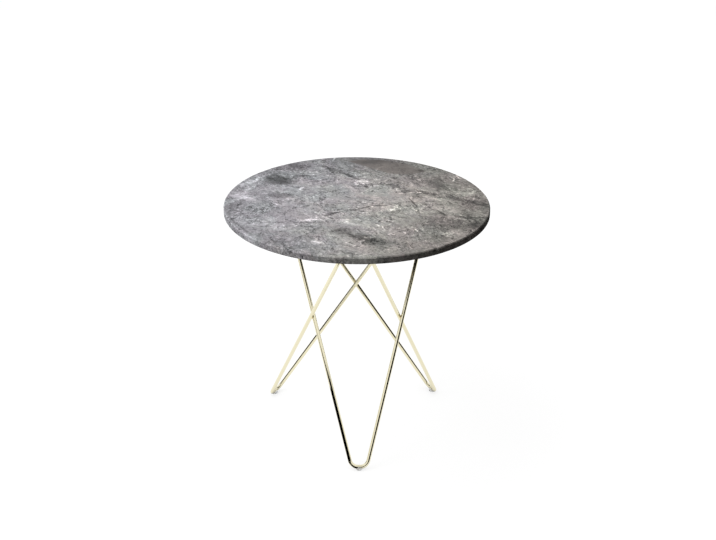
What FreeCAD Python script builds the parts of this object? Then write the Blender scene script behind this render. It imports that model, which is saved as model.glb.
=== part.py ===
import FreeCAD, Part
import Sketcher
import math
import os

from FreeCAD import Placement, Rotation, Vector

# Round stone table on a frame of bent round rod.
# Millimetres, +Z up, origin on the floor under the middle of the top, front leg towards -Y.
# Three equal rods make one closed zigzag: each rod has a foot bend at its middle and two straight
# arms, and each arm ends in half of a crown bend, where it meets the end of the next rod.
# A plate is brazed on each crown and screwed to the stone, and a bead joins arms that cross.

# Driving dimensions
DIMENSIONS = {
    # whole table
    "table_height": 752,
    "top_diameter": 800,
    "top_thickness": 20,
    "top_bevel": 3,
    "underside_bevel": 1,
    # rod frame: the circles run through the middles of the flats in the bends
    "rod_diameter": 12,
    "foot_circle_radius": 306,
    "foot_bend_radius": 25,
    "foot_flat": 8,
    "crown_circle_radius": 247,
    "crown_bend_radius": 25,
    "crown_flat": 12,
    "braze_gap": 0.2,
    "crossing_bead_radius": 5,
    # plates that carry the stone, each brazed to its crown with a collar
    "plate_margin": 5,
    "plate_web": 1.5,
    "pad_thickness": 2,
    "collar_top_margin": 5,
    "collar_bottom_margin": 2.5,
    "collar_depth": 6,
    # fixings of the stone
    "screw_circle_radius": 22,
    "screw_diameter": 5,
    "screw_length": 16,
    "screw_head_diameter": 10,
    "socket_width": 3,
    "socket_depth": 1.6,
    "screw_clearance": 0.25,
    "thread_clearance": 0.05,
    "insert_diameter": 8,
    "insert_length": 12,
    "glue_gap": 0.1,
    "insert_hole_spare": 1,
    # floor glides
    "glide_wall": 2.9,
    "glide_floor": 3,
    "glide_lip": 1.5,
    "glide_bevel": 1,
    "glide_clearance": 0.1,
}

# Counts, angles and the accuracy of comparisons
LEGS = 3
LEG_STEP = 360 / LEGS
FRONT_ANGLE = -90
SCREWS_PER_PLATE = 3
SCREW_STEP = 360 / SCREWS_PER_PLATE
FIRST_SCREW_ANGLE = 60
SOCKET_SIDES = 6
SOLVER_STEPS = 60
TOLERANCE = 1e-6
ROD_VOLUME_SHARE = 1e-3

LEG_NAMES = ("front", "right", "left")
CROSSING_NAMES = ("right", "back", "left")

# Expressions that several pieces share
HEAD_HEIGHT = "(Dims.screw_head_diameter - Dims.screw_diameter) / 2"
PLATE_THICKNESS = f"({HEAD_HEIGHT} + Dims.plate_web)"
PLATE_DIAMETER = (
    "2 * (Dims.screw_circle_radius + Dims.screw_head_diameter / 2 + Dims.plate_margin)")
PLATE_UNDERSIDE = (
    f"Dims.table_height - Dims.top_thickness - Dims.pad_thickness - {PLATE_THICKNESS}")
SCREW_HOLE = "Dims.screw_diameter + 2 * Dims.screw_clearance"
SCREW_REACH = f"Dims.screw_length - {PLATE_THICKNESS} - Dims.pad_thickness"
GROOVE_RADIUS = "Dims.rod_diameter / 2 + Dims.glide_clearance"

doc = FreeCAD.newDocument("stone_table")


def make_sheet():
    sheet = doc.addObject("Spreadsheet::Sheet", "Dims")
    for row, (alias, value) in enumerate(DIMENSIONS.items(), start=1):
        sheet.set(f"A{row}", alias)
        sheet.set(f"B{row}", str(value))
        sheet.setAlias(f"B{row}", alias)
    doc.recompute()
    return sheet


dims = make_sheet()


def worth(expression):
    """Present value of an expression over the sheet."""
    return float(dims.evalExpression(expression))


# Shape of the zigzag

def polar(radius, degrees, height):
    angle = math.radians(degrees)
    return Vector(radius * math.cos(angle), radius * math.sin(angle), height)


def off_axis(point):
    return math.hypot(point.x, point.y)


def bearing(point):
    return math.degrees(math.atan2(point.y, point.x))


class Corner:
    """The arc that rounds the corner between two straight runs."""

    def __init__(self, tip, one, other, radius):
        to_one = (one - tip).normalize()
        to_other = (other - tip).normalize()
        half_angle = to_one.getAngle(to_other) / 2
        inward = (to_one + to_other).normalize()
        reach = radius / math.tan(half_angle)
        centre = tip + inward * (radius / math.sin(half_angle))
        self.one_end = tip + to_one * reach
        self.other_end = tip + to_other * reach
        self.middle = centre - inward * radius

    def edge(self):
        return Part.Arc(self.one_end, self.middle, self.other_end).toShape()


class Bend:
    """Where two arms meet: a level flat with a rounded corner at each end."""

    def __init__(self, tip, one, other, radius, flat):
        to_one = (one - tip).normalize()
        to_other = (other - tip).normalize()
        one_slope = to_one / to_one.z
        other_slope = to_other / to_other.z
        spread = other_slope - one_slope
        upward = math.copysign(1, to_one.z)
        across = (spread * upward).normalize()
        one_reach = radius / math.tan(to_one.getAngle(across) / 2)
        other_reach = radius / math.tan(to_other.getAngle(-across) / 2)
        level = upward * (one_reach + flat + other_reach) / spread.Length
        one_tip = tip + one_slope * level
        other_tip = tip + other_slope * level
        self.one = Corner(one_tip, one, other_tip, radius)
        self.other = Corner(other_tip, one_tip, other, radius)
        self.middle = (self.one.other_end + self.other.one_end) / 2

    def one_edges(self):
        """From the first arm to the middle of the flat."""
        return [self.one.edge(), straight(self.one.other_end, self.middle)]

    def other_edges(self):
        """From the middle of the flat to the second arm."""
        return [straight(self.middle, self.other.one_end), self.other.edge()]

    def edges(self):
        flat = straight(self.one.other_end, self.other.one_end)
        return [self.one.edge(), flat, self.other.edge()]


class Zigzag:
    """Tips and bends of the closed rod loop, worked out from the driving dimensions.

    The flats lie on their circles at the right heights, and the crowns are turned about the
    table's axis by just as much as lets crossing arms pass one rod and one braze gap apart.
    """

    def __init__(self):
        rod_radius = dims.rod_diameter / 2
        foot_height = dims.glide_floor + worth(GROOVE_RADIUS)
        crown_height = worth(PLATE_UNDERSIDE) - dims.braze_gap - rod_radius
        passing = dims.rod_diameter + dims.braze_gap
        self.foot_radius = dims.foot_circle_radius
        self.foot_z = foot_height
        self.crown_radius = dims.crown_circle_radius
        self.crown_z = crown_height
        self.turn = math.degrees(passing / dims.crown_circle_radius)
        for _ in range(SOLVER_STEPS):
            self.place_tips()
            foot = self.foot_bends[0].middle
            crown = self.crown_bends[0].middle
            self.foot_radius += dims.foot_circle_radius - off_axis(foot)
            self.foot_z += foot_height - foot.z
            self.crown_radius += dims.crown_circle_radius - off_axis(crown)
            self.crown_z += crown_height - crown.z
            self.turn *= passing / self.crossing(0)[1]
        self.place_tips()

    def place_tips(self):
        angles = [FRONT_ANGLE + leg * LEG_STEP for leg in range(LEGS)]
        self.feet = [polar(self.foot_radius, angle, self.foot_z) for angle in angles]
        self.crowns = [polar(self.crown_radius, angle - self.turn, self.crown_z) for angle in angles]
        self.foot_bends = []
        self.crown_bends = []
        for leg in range(LEGS):
            before, after = neighbours(leg)
            self.foot_bends.append(Bend(
                self.feet[leg], self.crowns[before], self.crowns[after],
                dims.foot_bend_radius, dims.foot_flat))
            self.crown_bends.append(Bend(
                self.crowns[leg], self.feet[before], self.feet[after],
                dims.crown_bend_radius, dims.crown_flat))

    def crossing(self, leg):
        """Middle of the gap where an arm of a leg passes one of the next leg, and their distance."""
        after = neighbours(leg)[1]
        one, one_way = self.feet[leg], self.crowns[after] - self.feet[leg]
        other, other_way = self.feet[after], self.crowns[leg] - self.feet[after]
        normal = one_way.cross(other_way)
        between = other - one
        one_share = between.cross(other_way).dot(normal) / normal.dot(normal)
        other_share = between.cross(one_way).dot(normal) / normal.dot(normal)
        one_point = one + one_way * one_share
        other_point = other + other_way * other_share
        return (one_point + other_point) / 2, one_point.distanceToPoint(other_point)

    def rod_path(self, leg):
        """From a crown joint down an arm, round the foot bend and up the other arm to a crown joint."""
        before, after = neighbours(leg)
        first, foot, last = self.crown_bends[before], self.foot_bends[leg], self.crown_bends[after]
        return Part.Wire([
            *first.other_edges(),
            straight(first.other.other_end, foot.one.one_end),
            *foot.edges(),
            straight(foot.other.other_end, last.one.one_end),
            *last.one_edges(),
        ])

    def foot_path(self, leg):
        return Part.Wire(self.foot_bends[leg].edges())


def straight(start, end):
    return Part.LineSegment(start, end).toShape()


def neighbours(leg):
    """The legs before and after a leg, going round anticlockwise seen from above."""
    return (leg - 1) % LEGS, (leg + 1) % LEGS


zigzag = Zigzag()


# Building blocks

def sized(kind, name, **expressions):
    """A document object whose sizes are bound to the sheet."""
    thing = doc.addObject(kind, name)
    for size, expression in expressions.items():
        thing.setExpression(size, expression)
    return thing


def upright(point, degrees=0):
    """Placement that turns about the vertical and then moves to a point."""
    return Placement(point, Rotation(Vector(0, 0, 1), degrees))


def new_sketch(body, name):
    """Empty sketch on a body's horizontal origin plane."""
    plane = next(plane for plane in body.Origin.OriginFeatures if plane.Role == "XY_Plane")
    sketch = body.newObject("Sketcher::SketchObject", name)
    sketch.AttachmentSupport = (plane, [""])
    sketch.MapMode = "FlatFace"
    return sketch


def draw_circle(sketch, diameter, place=("0", "0")):
    """Circle whose diameter and centre are expressions over the sheet."""
    centre = Vector(worth(place[0]), worth(place[1]), 0)
    circle = sketch.addGeometry(Part.Circle(centre, Vector(0, 0, 1), worth(diameter) / 2))
    sizes = (
        (Sketcher.Constraint("Diameter", circle, worth(diameter)), diameter),
        (Sketcher.Constraint("DistanceX", -1, 1, circle, 3, centre.x), place[0]),
        (Sketcher.Constraint("DistanceY", -1, 1, circle, 3, centre.y), place[1]),
    )
    for constraint, expression in sizes:
        number = sketch.addConstraint(constraint)
        sketch.setExpression(f"Constraints[{number}]", expression)


def add_pad(body, sketch, length):
    pad = body.newObject("PartDesign::Pad", f"{body.Name}_pad")
    pad.Profile = sketch
    pad.setExpression("Length", length)
    doc.recompute()
    return pad


def add_cut(body, sketch, depth):
    """Cut a sketch from the body's underside upwards."""
    volume_before = body.Shape.Volume
    pocket = body.newObject("PartDesign::Pocket", f"{body.Name}_cut")
    pocket.Profile = sketch
    pocket.Reversed = True
    pocket.setExpression("Length", depth)
    doc.recompute()
    if not pocket.Shape.Volume < volume_before:
        raise RuntimeError(f"{pocket.Name} cuts nothing")
    return pocket


def add_bevel(body, name, base, rim_names, size):
    bevel = body.newObject("PartDesign::Chamfer", f"{body.Name}_{name}")
    bevel.Base = (base, rim_names)
    bevel.setExpression("Size", size)
    doc.recompute()
    return bevel


def rims(feature, on_top, on_axis=True):
    """Names of the round edges in a feature's top or bottom face, round its axis or off it."""
    box = feature.Shape.BoundBox
    level = box.ZMax if on_top else box.ZMin
    names = []
    for number, edge in enumerate(feature.Shape.Edges, start=1):
        if not isinstance(edge.Curve, Part.Circle):
            continue
        centre = edge.Curve.Center
        at_level = math.isclose(centre.z, level, abs_tol=TOLERANCE)
        if at_level and on_axis == (off_axis(centre) < TOLERANCE):
            names.append(f"Edge{number}")
    return names


def disc(name, diameter, thickness, holes=(), hole_diameter=None):
    """Body of a round disc standing on its own origin plane, with holes right through it."""
    body = doc.addObject("PartDesign::Body", name)
    outline = new_sketch(body, f"{name}_outline")
    draw_circle(outline, diameter)
    for place in holes:
        draw_circle(outline, hole_diameter, place)
    pad = add_pad(body, outline, thickness)
    return body, pad


def screw_places(plate_radius="0", plate_angle=0):
    """Centres of the screws of a plate, whose own centre lies at a radius and an angle."""
    places = []
    for screw in range(SCREWS_PER_PLATE):
        angle = plate_angle + FIRST_SCREW_ANGLE + screw * SCREW_STEP
        places.append((
            f"{plate_radius} * cos({plate_angle}) + Dims.screw_circle_radius * cos({angle})",
            f"{plate_radius} * sin({plate_angle}) + Dims.screw_circle_radius * sin({angle})",
        ))
    return places


def swept_rod(name, path_wire, radius):
    """Round bar along a path of straight runs and tangent arcs."""
    path = doc.addObject("Part::Feature", f"{name}_path")
    path.Shape = path_wire
    first = path_wire.Edges[0]
    start = first.valueAt(first.FirstParameter)
    direction = first.tangentAt(first.FirstParameter)
    section = sized("Part::Circle", f"{name}_section", Radius=radius)
    section.Placement = Placement(start, Rotation(Vector(0, 0, 1), direction))
    rod = doc.addObject("Part::Sweep", name)
    rod.Sections = [section]
    rod.Spine = (path, [f"Edge{number}" for number in range(1, len(path_wire.Edges) + 1)])
    rod.Solid = True
    doc.recompute()
    expected = math.pi * worth(radius) ** 2 * path_wire.Length
    if not math.isclose(rod.Shape.Volume, expected, rel_tol=ROD_VOLUME_SHARE):
        raise RuntimeError(f"{name} has volume {rod.Shape.Volume}, not {expected}")
    return rod


def cut(name, base, *tools):
    """Base without the tools, one after the other."""
    for number, tool in enumerate(tools, start=1):
        result = doc.addObject("Part::Cut", name if number == len(tools) else f"{name}_step{number}")
        result.Base = base
        result.Tool = tool
        base = result
    doc.recompute()
    return base


def group(name, solid, placements):
    """Separate copies of one solid as a single piece of hardware."""
    copies = []
    for placement in placements:
        copy = solid.Shape.copy()
        copy.Placement = placement
        copies.append(copy)
    hardware = doc.addObject("Part::Feature", name)
    hardware.Shape = Part.makeCompound(copies)
    return hardware


# Sub-parts

def table_top():
    """Stone disc with bevelled rims and blind holes for the threaded inserts."""
    body, pad = disc("table_top", "Dims.top_diameter", "Dims.top_thickness")
    upper = add_bevel(body, "upper_bevel", pad, rims(pad, on_top=True), "Dims.top_bevel")
    add_bevel(body, "lower_bevel", upper, rims(upper, on_top=False), "Dims.underside_bevel")
    holes = new_sketch(body, "table_top_insert_holes")
    for leg in range(LEGS):
        for place in screw_places("Dims.crown_circle_radius", leg * LEG_STEP):
            draw_circle(holes, "Dims.insert_diameter + 2 * Dims.glue_gap", place)
    add_cut(body, holes, f"max(Dims.insert_length; {SCREW_REACH}) + Dims.insert_hole_spare")
    underside = Vector(0, 0, dims.table_height - dims.top_thickness)
    body.Placement = upright(underside, bearing(zigzag.crown_bends[0].middle))
    return body


def leg_rod(leg):
    """Bent rod: foot bend, two arms and half a crown bend at each end."""
    return swept_rod(f"leg_rod_{LEG_NAMES[leg]}", zigzag.rod_path(leg), "Dims.rod_diameter / 2")


def crossing_braze(leg, rods):
    """Bead between the two arms that pass each other."""
    name = f"crossing_braze_{CROSSING_NAMES[leg]}"
    bead = sized("Part::Sphere", f"{name}_blank", Radius="Dims.crossing_bead_radius")
    bead.Placement = upright(zigzag.crossing(leg)[0])
    return cut(name, bead, rods[leg], rods[neighbours(leg)[1]])


def crown_station(leg, height):
    """Where a crown's plate and fixings sit: over its joint, turned outwards."""
    crown = zigzag.crown_bends[leg].middle
    return upright(Vector(crown.x, crown.y, height), bearing(crown))


def plate_braze(leg, rods):
    """Collar that joins a plate to the two rod ends that meet under it."""
    name = f"plate_braze_{LEG_NAMES[leg]}"
    collar = sized(
        "Part::Cone", f"{name}_blank",
        Radius1="Dims.rod_diameter / 2 + Dims.collar_bottom_margin",
        Radius2="Dims.rod_diameter / 2 + Dims.collar_top_margin",
        Height="Dims.collar_depth")
    collar.Placement = crown_station(leg, worth(PLATE_UNDERSIDE) - dims.collar_depth)
    return cut(name, collar, *(rods[other] for other in neighbours(leg)))


def mount_plate(leg):
    """Round plate with countersunk screw holes."""
    name = f"mount_plate_{LEG_NAMES[leg]}"
    body, pad = disc(name, PLATE_DIAMETER, PLATE_THICKNESS, screw_places(), SCREW_HOLE)
    hole_rims = rims(pad, on_top=False, on_axis=False)
    add_bevel(body, "countersinks", pad, hole_rims, HEAD_HEIGHT)
    body.Placement = crown_station(leg, worth(PLATE_UNDERSIDE))
    return body


def plate_pad(leg):
    """Rubber disc between a plate and the stone."""
    name = f"plate_pad_{LEG_NAMES[leg]}"
    body, pad = disc(name, PLATE_DIAMETER, "Dims.pad_thickness", screw_places(), SCREW_HOLE)
    body.Placement = crown_station(leg, worth(f"{PLATE_UNDERSIDE} + {PLATE_THICKNESS}"))
    return body


def screw_stations(leg, height):
    """Placements of the screws of one plate, with their lower ends at a height."""
    station = crown_station(leg, height)
    stations = []
    for x_place, y_place in screw_places():
        stations.append(station * upright(Vector(worth(x_place), worth(y_place), 0)))
    return stations


def screw():
    """Countersunk screw with a hexagon socket, head down."""
    head = sized(
        "Part::Cone", "screw_head",
        Radius1="Dims.screw_head_diameter / 2",
        Radius2="Dims.screw_diameter / 2",
        Height=HEAD_HEIGHT)
    shank = sized(
        "Part::Cylinder", "screw_shank",
        Radius="Dims.screw_diameter / 2",
        Height=f"Dims.screw_length - {HEAD_HEIGHT}")
    shank.setExpression("Placement.Base.z", HEAD_HEIGHT)
    blank = doc.addObject("Part::Fuse", "screw_blank")
    blank.Base = head
    blank.Tool = shank
    socket = sized(
        "Part::Prism", "screw_socket",
        Circumradius=f"Dims.socket_width / 2 / cos(180 / {SOCKET_SIDES})",
        Height="Dims.socket_depth")
    socket.Polygon = SOCKET_SIDES
    return cut("screw", blank, socket)


def insert():
    """Threaded sleeve that is glued into the stone."""
    sleeve = sized(
        "Part::Cylinder", "insert_sleeve",
        Radius="Dims.insert_diameter / 2",
        Height="Dims.insert_length")
    bore = sized(
        "Part::Cylinder", "insert_bore",
        Radius="Dims.screw_diameter / 2 + Dims.thread_clearance",
        Height="Dims.insert_length")
    return cut("insert", sleeve, bore)


def floor_glide(leg):
    """Round puck under a foot bend, with a groove that clips round the rod."""
    name = f"floor_glide_{LEG_NAMES[leg]}"
    diameter = f"2 * ({GROOVE_RADIUS} + Dims.glide_wall)"
    body, pad = disc(f"{name}_puck", diameter, f"Dims.glide_floor + {GROOVE_RADIUS} + Dims.glide_lip")
    add_bevel(body, "bevel", pad, rims(pad, on_top=False), "Dims.glide_bevel")
    foot = zigzag.foot_bends[leg].middle
    body.Placement = upright(Vector(foot.x, foot.y, 0), bearing(foot))
    groove = swept_rod(f"{name}_groove", zigzag.foot_path(leg), GROOVE_RADIUS)
    return cut(name, body, groove)


def build():
    """All sub-parts, each labelled with its own name."""
    legs = range(LEGS)
    rods = [leg_rod(leg) for leg in legs]
    pieces = [table_top(), *rods]
    one_screw = screw()
    one_insert = insert()
    underside = dims.table_height - dims.top_thickness
    for leg in legs:
        name = LEG_NAMES[leg]
        pieces.append(crossing_braze(leg, rods))
        pieces.append(plate_braze(leg, rods))
        pieces.append(mount_plate(leg))
        pieces.append(plate_pad(leg))
        screws = screw_stations(leg, worth(PLATE_UNDERSIDE))
        pieces.append(group(f"plate_screws_{name}", one_screw, screws))
        pieces.append(group(f"stone_inserts_{name}", one_insert, screw_stations(leg, underside)))
        pieces.append(floor_glide(leg))
    doc.recompute()
    return pieces


def check(pieces):
    for thing in doc.Objects:
        if "Invalid" in thing.State or "Error" in thing.State:
            raise RuntimeError(f"{thing.Name} did not build: {thing.State}")
    for piece in pieces:
        if piece.Shape.isNull() or not piece.Shape.isValid() or not piece.Shape.Solids:
            raise RuntimeError(f"{piece.Label} is not a valid solid")


def write(pieces):
    os.makedirs("parts", exist_ok=True)
    for piece in pieces:
        piece.Shape.exportStep(f"parts/{piece.Label}.step")
        solids = len(piece.Shape.Solids)
        print(f"{piece.Label}: {solids} solid(s), {piece.Shape.Volume:.1f} mm3")


subparts = build()
check(subparts)
write(subparts)
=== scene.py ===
import math

import bpy
from mathutils import Matrix, Vector

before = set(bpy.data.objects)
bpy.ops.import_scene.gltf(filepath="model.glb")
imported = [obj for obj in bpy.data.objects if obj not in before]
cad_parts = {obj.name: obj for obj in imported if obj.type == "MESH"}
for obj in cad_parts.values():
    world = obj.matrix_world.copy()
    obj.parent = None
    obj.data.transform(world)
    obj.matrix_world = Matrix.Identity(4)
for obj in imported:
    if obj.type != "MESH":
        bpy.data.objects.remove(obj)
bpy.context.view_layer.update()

# Looks of the round stone table on its brass rod frame. Metres, +Z up, front leg towards -Y.
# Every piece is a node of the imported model; this script gives each its material and sets up
# the camera, the light and the stage.

MM = 0.001
ORIGIN = (0.0, 0.0, 0.0)
UNIT_MIDDLE = (0.5, 0.5, 0.5)
WHITE = (1.0, 1.0, 1.0, 1.0)

# Camera, fitted to the photograph, with angles in radians
CAMERA_PLACE = Vector((-9.376, -3457.75, 2155.68)) * MM
CAMERA_PITCH = 0.4402
CAMERA_YAW = 0.0041
CAMERA_ROLL = 0.0085
CAMERA_REACH = 100.0
TABLE_TURN = 0.0375
FOCAL_PIXELS = 1237.33
IMAGE_WIDTH = 716
SENSOR_WIDTH = 36.0

# Light: place, side and power of the softboxes, the point that they face, and the fill from all around
SOFTBOXES = {
    "top_softbox": ((-1.4, 0.7, 3.3), 2.6, 60.0),
    "left_softbox": ((-2.85, -1.1, 2.4), 2.2, 104.0),
}
SOFTBOX_TARGET = (0.0, 0.0, 0.75)
FILL_STRENGTH = 0.06

# Floor: half its side, what it shows to the eye near the table and far off, the radii between which that
# changes, the light that it throws back on the table, and the part of its white that shadows take away
FLOOR_HALF = 40.0
FLOOR_NEAR_LEVEL = 0.955
FLOOR_FAR_LEVEL = 1.0
FLOOR_RADII = (0.45, 1.1)
FLOOR_BOUNCE = 0.22
FLOOR_SHADOW = 0.10
# Contact shadow on the floor: reach, depth, how open the floor is where it is full and where it is gone,
# and how many times its depth mirror reflections add to it
CONTACT_REACH = 0.06
CONTACT_DEPTH = 0.16
CONTACT_OPENNESS = (0.35, 0.97)
CONTACT_MIRRORED = 5.0
CONTACT_SAMPLES = 8

# Black flag behind the camera: its distance, the height that its top edge is seen from, the steps between
# two points of that edge, and the edge in degrees to the right of the camera, and up
FLAG_RADIUS = 12.0
FLAG_EYE_HEIGHT = 0.3
FLAG_STEPS = 6
FLAG_EDGE = (
    (-145, 6), (-130, 12), (-115, 15), (-100, 14), (-85, 10), (-70, 4), (-55, 9), (-45, 14),
    (-37, 18.5), (-20, 25), (-1, 30.5), (20, 32.5), (40, 33), (50, 30), (60, 25), (68, 18), (78, 12),
    (95, 9), (104, 8), (115, 8), (125, 3),
)
# Black cloth from the flag's foot over the floor: its span in the same degrees, nearer edge and height
CLOTH_SPAN = (-8, 80)
CLOTH_NEAR = 1.15
CLOTH_HEIGHT = 0.01
CLOTH_STEPS = 24
# Small black card on the floor by the front foot, seen only in mirrors, where it is painted shade on the
# floor beside the foot: its span in the same degrees, its edges from the foot, and its height
SHADE_CARD_SPAN = (-75, 22)
SHADE_CARD_EDGES = (0.0095, 0.35)
SHADE_CARD_HEIGHT = 0.001
SHADE_CARD_STEPS = 12
# Narrow black card beside the left arm of the front leg: the ends of its middle line from the foot, and
# half its width
BLINKER_ENDS = ((-0.0463, -0.007, 0.006), (-0.1023, 0.117, 0.215))
BLINKER_HALF = 0.014
# Small white card inside the front hairpin, glowing and seen only in mirrors, where it is a painted pale
# reflection: half its width, its front and back edges from the foot, and its height
REFLECTOR_HALF = 0.016
REFLECTOR_EDGES = (-0.002, 0.014)
REFLECTOR_HEIGHT = 0.021

# Rings of the turned pieces, in radians over a plate's width and over a metre of an insert
PLATE_RINGS = 900.0
INSERT_RINGS = 9000.0
# Wear of the glides: the roughness that it adds at the floor, and the height where it ends
GLIDE_WEAR = 0.62
GLIDE_WEAR_HEIGHT = 0.003

# Stone: albedo of its middle tone, and the tones of its patterns in stops
STONE_ALBEDO = 0.300
CLOUD_TONE = 1.46
STROKE_TONE = 1.15
STREAK_TONE = 1.55
MOTTLE_TONE = 1.0
GRAIN_TONE = 3.75
BAND_TONE = 1.5
CRACK_TONE = -1.4
THREAD_TONE = 0.9
PALE_HAIR_TONE = 1.0
DARK_HAIR_TONE = -1.4
WEDGE_TONE = -0.40
# Share of the tone's square that is taken off it, so that dark marks go deeper than pale ones
DARK_LEAN_SHARE = 0.08
# Share of the streaks, hairs and grain that the smooth wedge does not have
WEDGE_SMOOTH_SHARE = 0.70
# Levels of a noise between which hairs, cracks and threads fade out, and half the width of a vein in them
PIT_LEVELS = (0.32, 0.43)
PEAK_LEVELS = (0.57, 0.68)
CRACK_LEVELS = (0.46, 0.58)
THREAD_LEVELS = (0.49, 0.60)
VEIN_EDGE = 0.06
# How far noise pushes the patterns about: in wide sweeps, raggedly, and by a fine shake
DRIFT_PUSH = 0.16
RAGGED_PUSH = 0.03
TREMBLE_PUSH = 0.034
SHAKE_PUSH = 0.010
# Places in the noise that keep one pattern from repeating another
THREAD_PLACE = (0.7, 0.2, 0.0)
TEAR_PLACE = (0.3, 0.9, 0.0)
BLUSH_PLACE = (0.4, 0.1, 0.0)
# Bedding: where it turns over from left to right, and how far the bands shift that
BEDDING_TURN = (-0.22, 0.02)
BEDDING_WANDER = 0.6
# Hairs: where they turn over, how far the bands shift that, and the shares of the three directions
HAIR_TURN = (-0.28, 0.16)
HAIR_WANDER = 0.9
FALLING_SHARES = (0.3, 1.0)
RISING_AND_FALLING_SHARE = 1.2
STEEP_SHARE = 0.7
# Unrest of the veining: what it gains towards the right, its levels, and the gains that they stand for
UNREST_ACROSS = 0.12
UNREST_LEVELS = (0.36, 0.62)
UNREST_GAINS = (0.45, 1.35)
# Radii between which the grain becomes stronger, and its gain at the rim
GRAIN_RADII = (0.18, 0.32)
GRAIN_RIM_GAIN = 1.25
# Painted shade under the stone: heights over the underside where it ends, and the share of the albedo
# kept
UNDERSIDE_SHADE_HEIGHTS = (0.0005, 0.0015)
UNDERSIDE_SHADE_SHARE = 0.3
# Side: depths below the top where the rim turns into it, albedo share that it loses as painted shade, and
# more roughness
SIDE_DEPTHS = (0.0035, 0.0005)
SIDE_SHADE_SHARE = 0.08
SIDE_ROUGHNESS = 0.5
# Finish of the top, and how far the mottle and the grain change its roughness and raise it
STONE_ROUGHNESS = 0.42
STONE_SPECULAR = 0.06
MOTTLE_ROUGHNESS = 0.25
GRAIN_ROUGHNESS = 0.12
MOTTLE_RELIEF_SHARE = 0.4
GRAIN_RELIEF_SHARE = 0.6
# Change from cool to warm stone: tints, half the span of it, and what makes the stone warm
COOL_TINT = (0.995, 0.987, 1.060)
WARM_TINT = (1.060, 0.998, 0.920)
WARMTH_HALF = 0.42
WARMTH_ACROSS = 1.2
WARMTH_ALONG = -0.3
WARMTH_WEDGE = 0.35
WARMTH_BANDS = 0.7
WARMTH_MOTTLE = 0.5
# Change from greenish to rosy stone: tints, levels of its noise, and what the wedge adds to that
GREEN_TINT = (0.975, 1.01, 0.985)
ROSE_TINT = (1.032, 0.988, 1.0)
BLUSH_LEVELS = (0.36, 0.64)
BLUSH_WEDGE = 0.2

# Marks of the stone on the table top, in millimetres from its middle: x, y, half width,
# times longer than wide, turn in degrees, tone in stops. Clouds are soft and ragged.
CLOUDS = (
    # pale middle and darker surroundings
    (0, 0, 290, 1, 0, 0.30),
    (100, 330, 120, 2, -30, -0.28),
    (340, 40, 190, 1, 0, -0.13),
    # around the smooth dark wedge at the back, and the streak to its left
    (60, 352, 22, 4, 0, -0.35),
    (-52, 264, 15, 4, -45, -0.80),
    (-88, 300, 8, 4, -45, -0.80),
    (-22, 236, 8, 4, -45, -0.70),
    (2, 204, 7, 4, -45, -0.60),
    (-240, 310, 60, 2, 30, -0.30),
    (-20, 300, 37, 1, 0, 0.05),
    (212, 268, 14, 1, 0, -0.80),
    (182, 192, 12, 1, 0, -0.70),
    (60, 230, 46, 1, 0, 0.06),
    # smoky patches on the left
    (-238, 188, 50, 1, 0, -0.90),
    (-212, 172, 22, 2, -30, -0.40),
    (-244, 220, 9, 4, -45, -0.30),
    (-196, 212, 8, 4, -30, -0.40),
    (-262, 210, 27, 1, 0, -0.35),
    (-185, 314, 20, 2, -60, -0.60),
    (-166, 226, 10, 4, 0, -0.60),
    (-233, 59, 26, 2, 0, -0.60),
    (-300, 300, 20, 2, 60, 0.30),
    (-365, -16, 21, 2, 60, -0.50),
    # pale lavender clouds at the left
    (-342, 42, 19, 2, -30, 0.65),
    (-352, 78, 10, 4, 30, 0.55),
    (-326, 124, 10, 4, 60, 0.55),
    (-312, 190, 13, 4, 60, 0.45),
    (-345, 160, 9, 4, 60, 0.40),
    (-250, -150, 48, 2, 0, 0.20),
    (-230, -185, 32, 1, 0, 0.25),
    # pale clouds in the middle, with one at the front and two at the right
    (16, 172, 19, 2, 60, 0.60),
    (-140, -132, 7, 4, 0, 0.90),
    (-38, -150, 15, 2, -45, 0.65),
    (-12, -172, 12, 1, 0, 0.40),
    (-126, -291, 16, 1, 0, 0.95),
    (268, -62, 22, 2, -30, 0.75),
    (245, 22, 14, 4, -30, 0.55),
    (130, 40, 36, 2, -30, 0.20),
    (60, -200, 42, 2, -30, 0.20),
    # dark smoke at the front
    (40, -297, 30, 1, 0, -0.50),
    (6, -280, 20, 2, -30, -0.62),
    (-45, -228, 27, 2, -30, -0.65),
    (10, -262, 22, 4, -30, -0.30),
    (-84, -92, 12, 2, 30, -0.90),
    (230, -265, 18, 2, -30, -0.40),
    # paler stone along the front rim
    (8, -394, 44, 1, 0, 0.32),
    (-70, -320, 90, 1, 0, 0.14),
    (-318, -244, 20, 2, -60, 0.20),
    # brown dark zone at the right, with two pale patches in it
    (258, -172, 43, 2, 0, -0.50),
    (340, -180, 27, 2, 60, -0.85),
    (330, -130, 9, 4, 0, -0.60),
    (246, -96, 12, 2, -60, -0.60),
    (258, -240, 13, 4, 0, 0.50),
    (266, 125, 26, 1, 0, -0.60),
    (262, 165, 40, 1, 0, -0.45),
    (276, 98, 10, 4, 0, -0.55),
    (130, 125, 10, 4, -45, -0.75),
    (160, 92, 9, 4, 0, -0.60),
    (225, 66, 13, 4, -45, -0.70),
    (320, 12, 13, 4, -30, -0.65),
    (376, -24, 14, 4, -45, -0.80),
    (332, 66, 18, 2, 0, 0.55),
)
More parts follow.
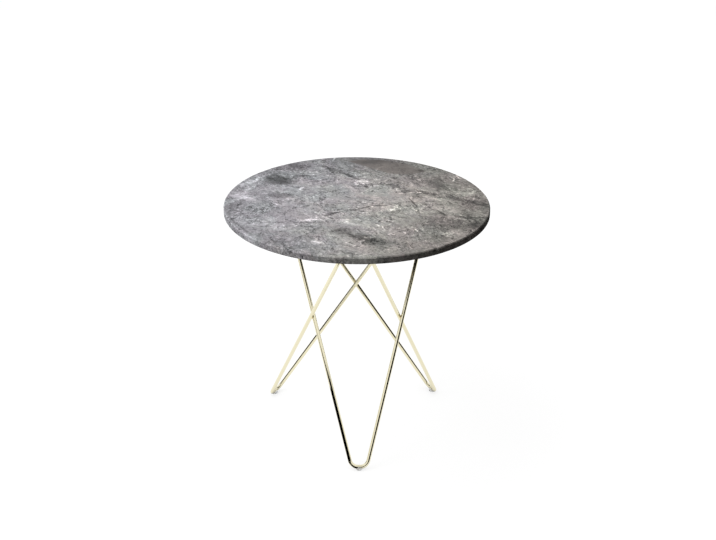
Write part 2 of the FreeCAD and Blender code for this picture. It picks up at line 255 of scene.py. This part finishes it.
# Strokes are thin and crisp: white flecks and pale lines first, then dark hair cracks.
STROKES = (
    (314, 190, 2.4, 8, 75, 2.0),
    (327, 209, 1.7, 8, -75, 1.4),
    (-62, 377, 2.4, 8, 75, 1.4),
    (54, -176, 2.0, 3, -45, 1.4),
    (68, -197, 1.8, 8, -75, 1.3),
    (162, -214, 2.8, 3, -60, 1.7),
    (-168, 118, 4.0, 3, 60, 1.4),
    (-246, -7, 3.4, 3, -45, 1.0),
    (356, 24, 2.4, 8, 75, 1.0),
    (101, -31, 2.8, 3, -45, 0.9),
    (44, -35, 2.8, 3, -45, 0.9),
    (-303, 180, 2.6, 12, -75, 0.45),
    (-333, 170, 3.0, 3, -60, 0.9),
    (-25, -313, 2.8, 12, -45, 0.45),
    (105, -341, 2.6, 8, -30, 0.8),
    (-165, -345, 2.6, 8, -30, 0.7),
    (-95, -133, 4.0, 12, 0, 0.5),
    (-65, -80, 3.0, 8, 30, -1.4),
    (-20, -60, 2.8, 8, 0, -1.4),
    (20, -42, 2.8, 8, 30, -1.4),
    (68, -26, 2.8, 8, 0, -1.4),
    (170, -7, 2.8, 12, -75, -1.3),
    (56, -284, 4.0, 3, 30, -0.6),
    (32, -310, 4.0, 3, 30, -0.6),
    (4, -252, 4.0, 8, 0, -0.7),
    (-27, 44, 3.0, 3, -45, -1.1),
    (-230, -147, 3.4, 12, 0, -0.8),
    (-145, -151, 3.4, 12, 0, -0.8),
    (246, -84, 3.0, 8, -60, -0.9),
    (329, -134, 3.0, 8, -30, -0.9),
    (325, -117, 2.6, 8, -30, -0.8),
    (-186, 129, 2.8, 8, -30, -0.9),
    (32, 21, 2.8, 8, -30, -0.8),
    (-374, -100, 4.0, 8, -75, -0.7),
    (-354, -153, 4.0, 8, -60, -0.7),
    (-326, -206, 4.0, 8, -60, -0.7),
)
# Shares of a mark's half width up to which it is full, and at which it is gone
CLOUD_EDGE_SHARES = (0.25, 1.3)
STROKE_EDGE_SHARES = (0.5, 1.7)
# Outline of the smooth dark wedge at the back, counter-clockwise, and how far its edge is blurred
WEDGE = ((-14, 360), (112, 243), (182, 232), (232, 262), (176, 325), (96, 368), (30, 376))
WEDGE_BLUR = 0.003


class Field:
    """A number, vector or colour that varies over a surface, with arithmetic for numbers."""

    def __init__(self, shade, socket):
        self.shade = shade
        self.socket = socket

    def __add__(self, other):
        return self.shade.math("ADD", self, other)

    def __sub__(self, other):
        return self.shade.math("SUBTRACT", self, other)

    def __mul__(self, other):
        return self.shade.math("MULTIPLY", self, other)

    def __rsub__(self, other):
        return self.shade.math("SUBTRACT", other, self)

    __radd__ = __add__

    def centred(self):
        """A noise moved from around a half to around zero."""
        return self - 0.5


class Shade:
    """The nodes of a material or a world, and short ways to add to them."""

    def __init__(self, owner):
        self.owner = owner
        owner.use_nodes = True
        self.tree = owner.node_tree
        self.tree.nodes.clear()

    def link(self, value, socket):
        """Feed a socket from a field, or set it to a plain value."""
        if isinstance(value, Field):
            self.tree.links.new(value.socket, socket)
        else:
            socket.default_value = value

    def node(self, kind, inputs=(), **settings):
        node = self.tree.nodes.new(f"ShaderNode{kind}")
        for name, value in settings.items():
            setattr(node, name, value)
        for key, value in dict(inputs).items():
            self.link(value, node.inputs[key])
        return node

    def out(self, node, key=0):
        return Field(self, node.outputs[key])

    def math(self, operation, first, second=0.0):
        return self.out(self.node("Math", {0: first, 1: second}, operation=operation))

    def vector(self, operation, first, second):
        return self.out(self.node("VectorMath", {0: first, 1: second}, operation=operation))

    def measure(self, operation, first, second=ORIGIN):
        """A number from vectors, such as a length."""
        return self.out(self.node("VectorMath", {0: first, 1: second}, operation=operation), "Value")

    def scaled(self, vector, value):
        """Vector or colour times a number."""
        return self.out(self.node("VectorMath", {0: vector, "Scale": value}, operation="SCALE"))

    def coords(self, kind):
        return self.out(self.node("TexCoord"), kind)

    def parts(self, vector):
        node = self.node("SeparateXYZ", {0: vector})
        return [self.out(node, key) for key in "XYZ"]

    def flat(self, vector):
        """Coordinates without their height."""
        return self.vector("MULTIPLY", vector, (1.0, 1.0, 0.0))

    def placed(self, vector, location=ORIGIN, turn=0.0, size=(1.0, 1.0, 1.0)):
        """Coordinates in a frame of its own place, turn in degrees about Z, and size."""
        node = self.node("Mapping", {
            "Vector": vector, "Location": location, "Rotation": (0.0, 0.0, math.radians(turn)),
            "Scale": size,
        }, vector_type="TEXTURE")
        return self.out(node)

    def drawn_out(self, vector, turn, stretch):
        """Coordinates that draw a pattern out along a direction, in degrees from X."""
        return self.placed(vector, turn=turn, size=(stretch, 1.0, 1.0))

    def pushed(self, vector, push, reach):
        """Coordinates moved along a field of vectors."""
        return self.vector("ADD", vector, self.scaled(push, reach))

    def noise(self, vector, scale, detail=2.0, roughness=0.5, distortion=0.0, output="Fac"):
        node = self.node("TexNoise", {
            "Vector": vector, "Scale": scale, "Detail": detail, "Roughness": roughness,
            "Distortion": distortion,
        })
        return self.out(node, output)

    def swing(self, vector, **noise):
        """A vector of noise around zero."""
        return self.vector("SUBTRACT", self.noise(vector, output="Color", **noise), UNIT_MIDDLE)

    def ridge(self, vector, **noise):
        """Thin lines along the middle level of a noise: 0 on the line, 1 far off it."""
        return self.math("ABSOLUTE", self.noise(vector, **noise) * 2.0 - 1.0)

    def step(self, value, low, high, low_result=0.0, high_result=1.0):
        """Smooth passage from one result to another as a value goes from low to high."""
        node = self.node("MapRange", {
            "Value": value, "From Min": low, "From Max": high,
            "To Min": low_result, "To Max": high_result,
        }, interpolation_type="SMOOTHSTEP")
        return self.out(node)

    def mix(self, factor, first, second):
        """Colour between two plain colours."""
        node = self.node("Mix", {0: factor, 6: (*first, 1.0), 7: (*second, 1.0)}, data_type="RGBA")
        return self.out(node, 2)

    def bump(self, height, distance, strength):
        return self.out(self.node(
            "Bump", {"Height": height, "Distance": distance, "Strength": strength}))

    def surface(self, **inputs):
        """Finish with a principled shader."""
        return self.finish(self.node(
            "BsdfPrincipled", {name.replace("_", " "): value for name, value in inputs.items()}))

    def finish(self, shader, output="OutputMaterial"):
        """Connect the last shader, and hand over the material or world."""
        self.tree.links.new(shader.outputs[0], self.node(output).inputs["Surface"])
        return self.owner


def material_shade(name):
    return Shade(bpy.data.materials.new(name))


def grey(level):
    return level, level, level, 1.0


def between(factor, first, second):
    """Number between two plain numbers."""
    return first + factor * (second - first)


def node_box(name):
    """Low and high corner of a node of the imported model."""
    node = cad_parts[name]
    corners = [node.matrix_world @ Vector(corner) for corner in node.bound_box]
    return [Vector([end(axis) for axis in zip(*corners)]) for end in (min, max)]


def stone_marks(shade, flat, marks, edge_shares):
    """Tone of marks that are listed one by one, each full in its core and gone at its fringe."""
    core_share, fringe_share = edge_shares
    frames = {}
    tone = None
    for x, y, half_width, ratio, turn, strength in marks:
        if (ratio, turn) not in frames:
            frames[ratio, turn] = shade.drawn_out(flat, turn, ratio)
        angle = math.radians(turn)
        lengthwise = x * math.cos(angle) + y * math.sin(angle)
        crosswise = y * math.cos(angle) - x * math.sin(angle)
        centre = (lengthwise / ratio * MM, crosswise * MM, 0.0)
        distance = shade.measure("DISTANCE", frames[ratio, turn], centre)
        reach = half_width * MM
        mark = shade.step(distance, core_share * reach, fringe_share * reach, strength, 0.0)
        tone = mark if tone is None else tone + mark
    return tone


def stone_wedge(shade, flat):
    """1 inside the outline of the smooth dark wedge, with a crisp edge."""
    outside = None
    for (x1, y1), (x2, y2) in zip(WEDGE, WEDGE[1:] + WEDGE[:1]):
        side = math.hypot(x2 - x1, y2 - y1)
        outward = ((y2 - y1) / side, (x1 - x2) / side, 0.0)
        level = (x1 * outward[0] + y1 * outward[1]) * MM
        beyond = shade.measure("DOT_PRODUCT", flat, outward) - level
        outside = beyond if outside is None else shade.math("MAXIMUM", outside, beyond)
    return shade.step(outside, -WEDGE_BLUR, WEDGE_BLUR, 1.0, 0.0)


def stone_warps(shade, place):
    """Coordinates pushed about by noise: in wide sweeps, raggedly, and by a fine shake."""
    sway = shade.swing(place, scale=8.0, detail=4.0, roughness=0.6)
    tremble = shade.swing(place, scale=48.0, detail=4.0, roughness=0.65)
    shiver = shade.swing(place, scale=90.0, detail=3.0, roughness=0.6)
    drift = shade.pushed(place, sway, DRIFT_PUSH)
    ragged = shade.pushed(place, sway, RAGGED_PUSH)
    ragged = shade.pushed(ragged, tremble, TREMBLE_PUSH)
    shaken = shade.pushed(place, shiver, SHAKE_PUSH)
    return drift, ragged, shaken


def stone_streaks(shade, drift, across, bands):
    """Streaks along the bedding, which rises to the right at the left side and falls elsewhere."""
    bedding = {"scale": 66.0, "detail": 5.0, "roughness": 0.66}
    falling = shade.noise(shade.drawn_out(drift, turn=-50, stretch=4.2), **bedding)
    rising = shade.noise(shade.drawn_out(drift, turn=58, stretch=3.4), **bedding)
    leftness = shade.step(across + bands.centred() * BEDDING_WANDER, *BEDDING_TURN, 1.0, 0.0)
    return falling + (rising - falling) * leftness


def sparse(shade, vector, scale):
    """Tone of scattered marks: only the peaks and the pits of a noise show."""
    noise = shade.noise(vector, scale, detail=3.0, roughness=0.6)
    peaks = shade.step(noise, *PEAK_LEVELS, 0.0, PALE_HAIR_TONE)
    pits = shade.step(noise, *PIT_LEVELS, DARK_HAIR_TONE, 0.0)
    return peaks + pits


def stone_hairs(shade, drift, across, bands):
    """Tone of sparse crisp hairs in three directions, more of them falling towards the right."""
    share = shade.step(across + bands.centred() * HAIR_WANDER, *HAIR_TURN, *FALLING_SHARES)
    falling = sparse(shade, shade.drawn_out(drift, turn=-46, stretch=8.0), scale=150.0) * share
    rising = sparse(shade, shade.drawn_out(drift, turn=48, stretch=5.0), scale=140.0)
    hairs = falling + rising * (RISING_AND_FALLING_SHARE - share)
    steep = sparse(shade, shade.drawn_out(drift, turn=-66, stretch=6.0), scale=120.0)
    return hairs + steep * STEEP_SHARE


def stone_veins(shade, place, shaken):
    """Tones of dark cracks and of pale threads, each only here and there."""
    cracks = shade.ridge(shaken, scale=15.0, detail=6.0, roughness=0.66, distortion=0.4)
    threads = shade.ridge(
        shade.placed(shaken, THREAD_PLACE), scale=22.0, detail=7.0, roughness=0.66, distortion=0.8)
    cracked = shade.noise(place, scale=26.0, detail=3.0, roughness=0.6)
    torn = shade.noise(shade.placed(place, TEAR_PLACE), scale=22.0, detail=3.0, roughness=0.6)
    return (
        shade.step(cracks, 0.0, VEIN_EDGE, CRACK_TONE, 0.0) * shade.step(cracked, *CRACK_LEVELS),
        shade.step(threads, 0.0, VEIN_EDGE, THREAD_TONE, 0.0) * shade.step(torn, *THREAD_LEVELS),
    )


def stone_tint(shade, drift, warm, wedge):
    """Tint between cool and warm grey, with a faint change from green to rose."""
    warmth = shade.step(warm, -WARMTH_HALF, WARMTH_HALF)
    tint = shade.mix(warmth, COOL_TINT, WARM_TINT)
    blotches = shade.noise(shade.placed(drift, BLUSH_PLACE), scale=9.0, detail=3.0, roughness=0.6)
    blush = shade.step(blotches + wedge * BLUSH_WEDGE, *BLUSH_LEVELS)
    return shade.vector("MULTIPLY", tint, shade.mix(blush, GREEN_TINT, ROSE_TINT))


def marble():
    """Honed grey marble: clouds, smoke and veins over a fine broken grain."""
    shade = material_shade("grey_marble")
    place = shade.coords("Object")
    drift, ragged, shaken = stone_warps(shade, place)
    mark_place = shade.flat(ragged)
    vein_place = shade.flat(shaken)
    across, along, height = shade.parts(place)
    from_middle = shade.measure("LENGTH", shade.flat(place))
    bands = shade.noise(
        shade.drawn_out(drift, turn=-48, stretch=2.2), scale=12.0, detail=5.0, roughness=0.62)
    streaks = stone_streaks(shade, drift, across, bands)
    hairs = stone_hairs(shade, drift, across, bands)
    leaning = shade.drawn_out(ragged, turn=-66, stretch=2.0)
    mottle = shade.noise(leaning, scale=46.0, detail=6.0, roughness=0.70)
    grain = shade.noise(leaning, scale=125.0, detail=5.0, roughness=0.80)
    cracks, threads = stone_veins(shade, place, shaken)
    wedge = stone_wedge(shade, vein_place)
    unrest = shade.noise(drift, scale=6.5, detail=3.0, roughness=0.55) + across * UNREST_ACROSS
    busy = shade.step(unrest, *UNREST_LEVELS, *UNREST_GAINS)
    rough_tone = (
        (streaks.centred() * STREAK_TONE + hairs + mottle.centred() * MOTTLE_TONE) * busy
        + grain.centred() * GRAIN_TONE * shade.step(from_middle, *GRAIN_RADII, 1.0, GRAIN_RIM_GAIN)
        + cracks
        + threads
    )
    tone = (
        stone_marks(shade, mark_place, CLOUDS, CLOUD_EDGE_SHARES) * CLOUD_TONE
        + stone_marks(shade, vein_place, STROKES, STROKE_EDGE_SHARES) * STROKE_TONE
        + bands.centred() * BAND_TONE
        + rough_tone * (1.0 - wedge * WEDGE_SMOOTH_SHARE)
        + wedge * WEDGE_TONE
    )
    tone = tone - tone * tone * DARK_LEAN_SHARE
    underside, top = (corner.z for corner in node_box("table_top"))
    # Painted shade: the underside much darker, and the side a little darker, than the top
    underside_shade = shade.step(height, *(underside + rise for rise in UNDERSIDE_SHADE_HEIGHTS), UNDERSIDE_SHADE_SHARE, 1.0)
    side = shade.step(height, *(top - depth for depth in SIDE_DEPTHS), 1.0, 0.0)
    albedo = shade.math("POWER", 2.0, tone) * STONE_ALBEDO * underside_shade * (1.0 - side * SIDE_SHADE_SHARE)
    warm = (
        across * WARMTH_ACROSS + along * WARMTH_ALONG + wedge * WARMTH_WEDGE
        + bands.centred() * WARMTH_BANDS + mottle.centred() * WARMTH_MOTTLE)
    colour = shade.scaled(stone_tint(shade, drift, warm, wedge), albedo)
    roughness = (
        STONE_ROUGHNESS + mottle.centred() * MOTTLE_ROUGHNESS + grain.centred() * GRAIN_ROUGHNESS
        + side * SIDE_ROUGHNESS)
    relief = mottle * MOTTLE_RELIEF_SHARE + grain * GRAIN_RELIEF_SHARE
    return shade.surface(
        Base_Color=colour, Roughness=roughness, Normal=shade.bump(relief, distance=0.0003, strength=0.25),
        Specular_IOR_Level=STONE_SPECULAR)


def polished_brass():
    """Polished brass rod with faint polishing marks and a slight change of tone."""
    shade = material_shade("polished_brass_rod")
    place = shade.coords("Object")
    clouds = shade.noise(place, scale=9.0, detail=3.0)
    haze = shade.noise(place, scale=60.0, detail=4.0, roughness=0.6)
    scratches = shade.noise(shade.placed(place, size=(1.0, 1.0, 6.0)), scale=900.0, roughness=0.6)
    return shade.surface(
        Base_Color=shade.mix(clouds, (0.85, 0.80, 0.59), (0.80, 0.74, 0.53)), Metallic=1.0,
        Roughness=between(haze, 0.02, 0.06),
        Normal=shade.bump(scratches, distance=0.00002, strength=0.1))


def stained_metal(shade, stain, colours, roughness, relief):
    """Metal whose colour and roughness go from clean to stained, over a relief."""
    return shade.surface(
        Base_Color=shade.mix(stain, *colours), Metallic=1.0,
        Roughness=between(stain, *roughness), Normal=relief)


def braze_metal():
    """Braze bead, dressed by hand: slightly wavy and duller than the rod."""
    shade = material_shade("braze_metal")
    place = shade.coords("Object")
    ripple = shade.noise(place, scale=420.0, detail=3.0)
    stain = shade.noise(place, scale=150.0, detail=3.0, roughness=0.6)
    return stained_metal(
        shade, stain, colours=((0.90, 0.72, 0.38), (0.70, 0.50, 0.24)), roughness=(0.22, 0.42),
        relief=shade.bump(ripple, distance=0.0004, strength=0.5))


def brushed_brass():
    """Plates with turned rings."""
    shade = material_shade("brushed_brass_plate")
    middle = shade.vector("SUBTRACT", shade.coords("Generated"), UNIT_MIDDLE)
    rings = shade.math("SINE", shade.measure("LENGTH", shade.flat(middle)) * PLATE_RINGS)
    stain = shade.noise(shade.coords("Object"), scale=60.0, detail=4.0, roughness=0.6)
    return stained_metal(
        shade, stain, colours=((0.92, 0.76, 0.44), (0.80, 0.62, 0.33)), roughness=(0.24, 0.40),
        relief=shade.bump(rings, distance=0.00005, strength=0.4))


def turned_brass():
    """Inserts: turned brass with fine rings along their length."""
    shade = material_shade("turned_brass_insert")
    place = shade.coords("Object")
    rings = shade.math("SINE", shade.parts(place)[2] * INSERT_RINGS)
    stain = shade.noise(place, scale=200.0, detail=3.0, roughness=0.6)
    return stained_metal(
        shade, stain, colours=((0.86, 0.70, 0.38), (0.72, 0.55, 0.28)), roughness=(0.30, 0.45),
        relief=shade.bump(rings, distance=0.0001, strength=0.4))


def screw_steel():
    """Screws: turned steel with uneven rings."""
    shade = material_shade("turned_steel_screw")
    place = shade.coords("Object")
    rings = shade.noise(shade.placed(place, size=(1.0, 1.0, 0.05)), scale=700.0)
    stain = shade.noise(place, scale=220.0, detail=3.0, roughness=0.6)
    return stained_metal(
        shade, stain, colours=((0.68, 0.68, 0.69), (0.50, 0.50, 0.52)), roughness=(0.20, 0.40),
        relief=shade.bump(rings, distance=0.0001, strength=0.4))


def rubber():
    """Black rubber pad with some dust on it."""
    shade = material_shade("black_rubber_pad")
    place = shade.coords("Object")
    grain = shade.noise(place, scale=900.0, detail=4.0, roughness=0.7)
    dust = shade.noise(place, scale=90.0, detail=4.0, roughness=0.6)
    return shade.surface(
        Base_Color=shade.mix(dust, (0.012, 0.012, 0.013), (0.035, 0.034, 0.033)),
        Roughness=between(dust, 0.62, 0.87),
        Normal=shade.bump(grain, distance=0.0002, strength=0.5))


def clear_plastic():
    """Moulded clear glide, scuffed towards the floor."""
    shade = material_shade("clear_plastic_glide")
    place = shade.coords("Object")
    height = shade.parts(place)[2]
    scuffs = shade.noise(place, scale=500.0, detail=4.0, roughness=0.65)
    worn = shade.step(height, 0.0, GLIDE_WEAR_HEIGHT, GLIDE_WEAR, 0.0)
    haze = shade.noise(place, scale=120.0, detail=3.0)
    return shade.surface(
        Base_Color=shade.mix(haze, (0.99, 0.99, 0.98), (0.95, 0.95, 0.93)),
        Roughness=between(scuffs, 0.08, 0.20) + worn, IOR=1.49, Transmission_Weight=1.0,
        Normal=shade.bump(scuffs, distance=0.0001, strength=0.3))


def dress():
    """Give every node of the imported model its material."""
    looks = {
        "table_top": marble(),
        "leg_rod": polished_brass(),
        "crossing_braze": braze_metal(),
        "mount_plate": brushed_brass(),
        "stone_inserts": turned_brass(),
        "plate_pad": rubber(),
        "plate_screws": screw_steel(),
        "floor_glide": clear_plastic(),
    }
    looks["plate_braze"] = looks["crossing_braze"]
    for name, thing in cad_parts.items():
        kind = next(kind for kind in looks if name.startswith(kind))
        for slot in thing.material_slots:
            slot.material = looks[kind]


def seen_directly(shade):
    """1 for rays from the camera, and for those that mirror and glass pass on; 0 for other light."""
    path = shade.node("LightPath")
    direct = shade.math(
        "MAXIMUM", shade.out(path, "Is Camera Ray"), shade.out(path, "Is Glossy Ray"))
    return shade.math("MAXIMUM", direct, shade.out(path, "Is Transmission Ray"))


def floor_material():
    """Pale studio floor: plain white to the eye, but it keeps the table's shadow."""
    shade = material_shade("pale_floor")
    bounce = shade.node("BsdfDiffuse", {"Color": grey(FLOOR_BOUNCE)})
    level = shade.step(
        shade.measure("LENGTH", shade.coords("Object")), *FLOOR_RADII, FLOOR_NEAR_LEVEL, FLOOR_FAR_LEVEL)
    openness = shade.out(
        shade.node("AmbientOcclusion", {"Distance": CONTACT_REACH}, samples=CONTACT_SAMPLES), "AO")
    mirrored = shade.out(shade.node("LightPath"), "Is Reflection Ray")
    contact = shade.step(openness, *CONTACT_OPENNESS, CONTACT_DEPTH, 0.0)
    level = level * (1.0 - contact * (mirrored * CONTACT_MIRRORED + 1.0))
    glow = shade.node("Emission", {"Color": WHITE, "Strength": level})
    shadowed = shade.node("BsdfDiffuse", {"Color": grey(FLOOR_SHADOW)})
    white = shade.node("AddShader", {0: shade.out(glow), 1: shade.out(shadowed)})
    return shade.finish(shade.node("MixShader", {
        0: seen_directly(shade), 1: shade.out(bounce), 2: shade.out(white)}))


def flag_material():
    """Dull black cloth of the flag and the black cards."""
    shade = material_shade("black_flag")
    weave = shade.noise(shade.coords("Object"), scale=4.0, detail=3.0)
    colour = shade.mix(weave, (0.002, 0.002, 0.002), (0.006, 0.006, 0.006))
    return shade.finish(shade.node("BsdfDiffuse", {"Color": colour}))


def add_object(name, data):
    thing = bpy.data.objects.new(name, data)
    bpy.context.scene.collection.objects.link(thing)
    return thing


def mesh_object(name, points, faces, material):
    mesh = bpy.data.meshes.new(name)
    mesh.from_pydata(points, [], faces)
    mesh.materials.append(material)
    return add_object(name, mesh)


def make_floor():
    half = FLOOR_HALF
    corners = [(-half, -half, 0.0), (half, -half, 0.0), (half, half, 0.0), (-half, half, 0.0)]
    floor = mesh_object("studio_floor", corners, [(0, 1, 2, 3)], floor_material())


def front_foot():
    """Middle of the front leg's glide, as a place on the floor."""
    low, high = node_box("floor_glide_front")
    return (low.x + high.x) / 2, (low.y + high.y) / 2


def around(middle, degrees, reach):
    """Place on the floor at a reach from a middle, in degrees to the right of the camera."""
    angle = math.radians(degrees - 90.0)
    return middle[0] + reach * math.cos(angle), middle[1] + reach * math.sin(angle)


def flag_pairs():
    """Points along the foot and the top edge of the black flag."""
    for (left, left_rise), (right, right_rise) in zip(FLAG_EDGE, FLAG_EDGE[1:]):
        for step in range(FLAG_STEPS):
            share = step / FLAG_STEPS
            place = around(ORIGIN, left + (right - left) * share, FLAG_RADIUS)
            rise = math.radians(left_rise + (right_rise - left_rise) * share)
            yield (*place, CLOTH_HEIGHT), (*place, FLAG_RADIUS * math.tan(rise) + FLAG_EYE_HEIGHT)


def fan_pairs(middle, span, edges, height, steps):
    """Points along the nearer and the farther edge of a flat fan."""
    left, right = span
    for step in range(steps + 1):
        degrees = left + (right - left) * step / steps
        yield [(*around(middle, degrees, reach), height) for reach in edges]


def blinker_pairs(foot):
    """Points along the two long edges of the narrow black card."""
    for x, y, z in BLINKER_ENDS:
        yield [(foot[0] + x, foot[1] + y + half, z) for half in (-BLINKER_HALF, BLINKER_HALF)]


def show_in_reflections(thing, through_glass):
    """Keep a stage piece out of sight of all but mirrors and, if wished, clear pieces."""
    thing.visible_camera = False
    thing.visible_diffuse = False
    thing.visible_shadow = False
    thing.visible_transmission = through_glass


def make_flag():
    """Black flag, cloth and cards for the brass to mirror, all in one mesh."""
    foot = front_foot()
    strips = (
        flag_pairs(),
        fan_pairs(ORIGIN, CLOTH_SPAN, (CLOTH_NEAR, FLAG_RADIUS), CLOTH_HEIGHT, CLOTH_STEPS),
        # painted shade on the floor beside the front foot, for the brass to mirror
        fan_pairs(foot, SHADE_CARD_SPAN, SHADE_CARD_EDGES, SHADE_CARD_HEIGHT, SHADE_CARD_STEPS),
        blinker_pairs(foot),
    )
    points, faces = [], []
    for strip in strips:
        first = len(points)
        for pair in strip:
            points += pair
        faces += [(n, n + 2, n + 3, n + 1) for n in range(first, len(points) - 2, 2)]
    flag = mesh_object("black_flag", points, faces, flag_material())
    # the brass is seen through the clear glides as well
    show_in_reflections(flag, through_glass=True)


def make_reflector():
    """Glowing white card over the front foot, seen only in mirrors: a painted pale reflection that keeps
    the shaded underside of the stone out of its bend.
    """
    shade = material_shade("glowing_reflection_card")
    material = shade.finish(shade.node("Emission", {"Color": WHITE, "Strength": 1.0}))
    foot_x, foot_y = front_foot()
    near, far = REFLECTOR_EDGES
    corners = [
        (foot_x + x * REFLECTOR_HALF, foot_y + y, REFLECTOR_HEIGHT)
        for x, y in ((-1, near), (1, near), (1, far), (-1, far))]
    card = mesh_object("glowing_reflection_card", corners, [(0, 1, 2, 3)], material)
    show_in_reflections(card, through_glass=False)


def make_lamp(name, place, side, power):
    """Square softbox that lights the table but is not mirrored in it."""
    data = bpy.data.lights.new(name, "AREA")
    data.shape = "RECTANGLE"
    data.size = data.size_y = side
    data.energy = power
    lamp = add_object(name, data)
    lamp.location = place
    lamp.rotation_euler = (Vector(SOFTBOX_TARGET) - Vector(place)).to_track_quat("-Z", "Y").to_euler()
    lamp.visible_glossy = False


def make_light():
    """Two softboxes, and a world that looks white but lights the table only faintly."""
    for name, (place, side, power) in SOFTBOXES.items():
        make_lamp(name, place, side, power)
    shade = Shade(bpy.data.worlds.new("studio"))
    seen = seen_directly(shade)
    fill = shade.node("Background", {"Color": WHITE, "Strength": FILL_STRENGTH})
    white = shade.node("Background", {"Color": WHITE, "Strength": 1.0})
    mix = shade.node("MixShader", {0: seen, 1: shade.out(fill), 2: shade.out(white)})
    bpy.context.scene.world = shade.finish(mix, "OutputWorld")


def make_camera():
    """Camera that sees the table as the photograph does."""
    data = bpy.data.cameras.new("photo_camera")
    data.sensor_fit = "HORIZONTAL"
    data.sensor_width = SENSOR_WIDTH
    data.lens = FOCAL_PIXELS / IMAGE_WIDTH * SENSOR_WIDTH
    data.clip_end = CAMERA_REACH
    camera = add_object("photo_camera", data)
    turn = Matrix.Rotation(-TABLE_TURN, 4, "Z")
    look = (
        Matrix.Rotation(-TABLE_TURN - CAMERA_YAW, 4, "Z")
        @ Matrix.Rotation(math.pi / 2 - CAMERA_PITCH, 4, "X")
        @ Matrix.Rotation(CAMERA_ROLL, 4, "Z"))
    camera.matrix_world = Matrix.Translation(turn @ CAMERA_PLACE) @ look
    bpy.context.scene.camera = camera


dress()
make_floor()
make_flag()
make_reflector()
make_light()
make_camera()
bpy.context.scene.view_settings.view_transform = "Standard"
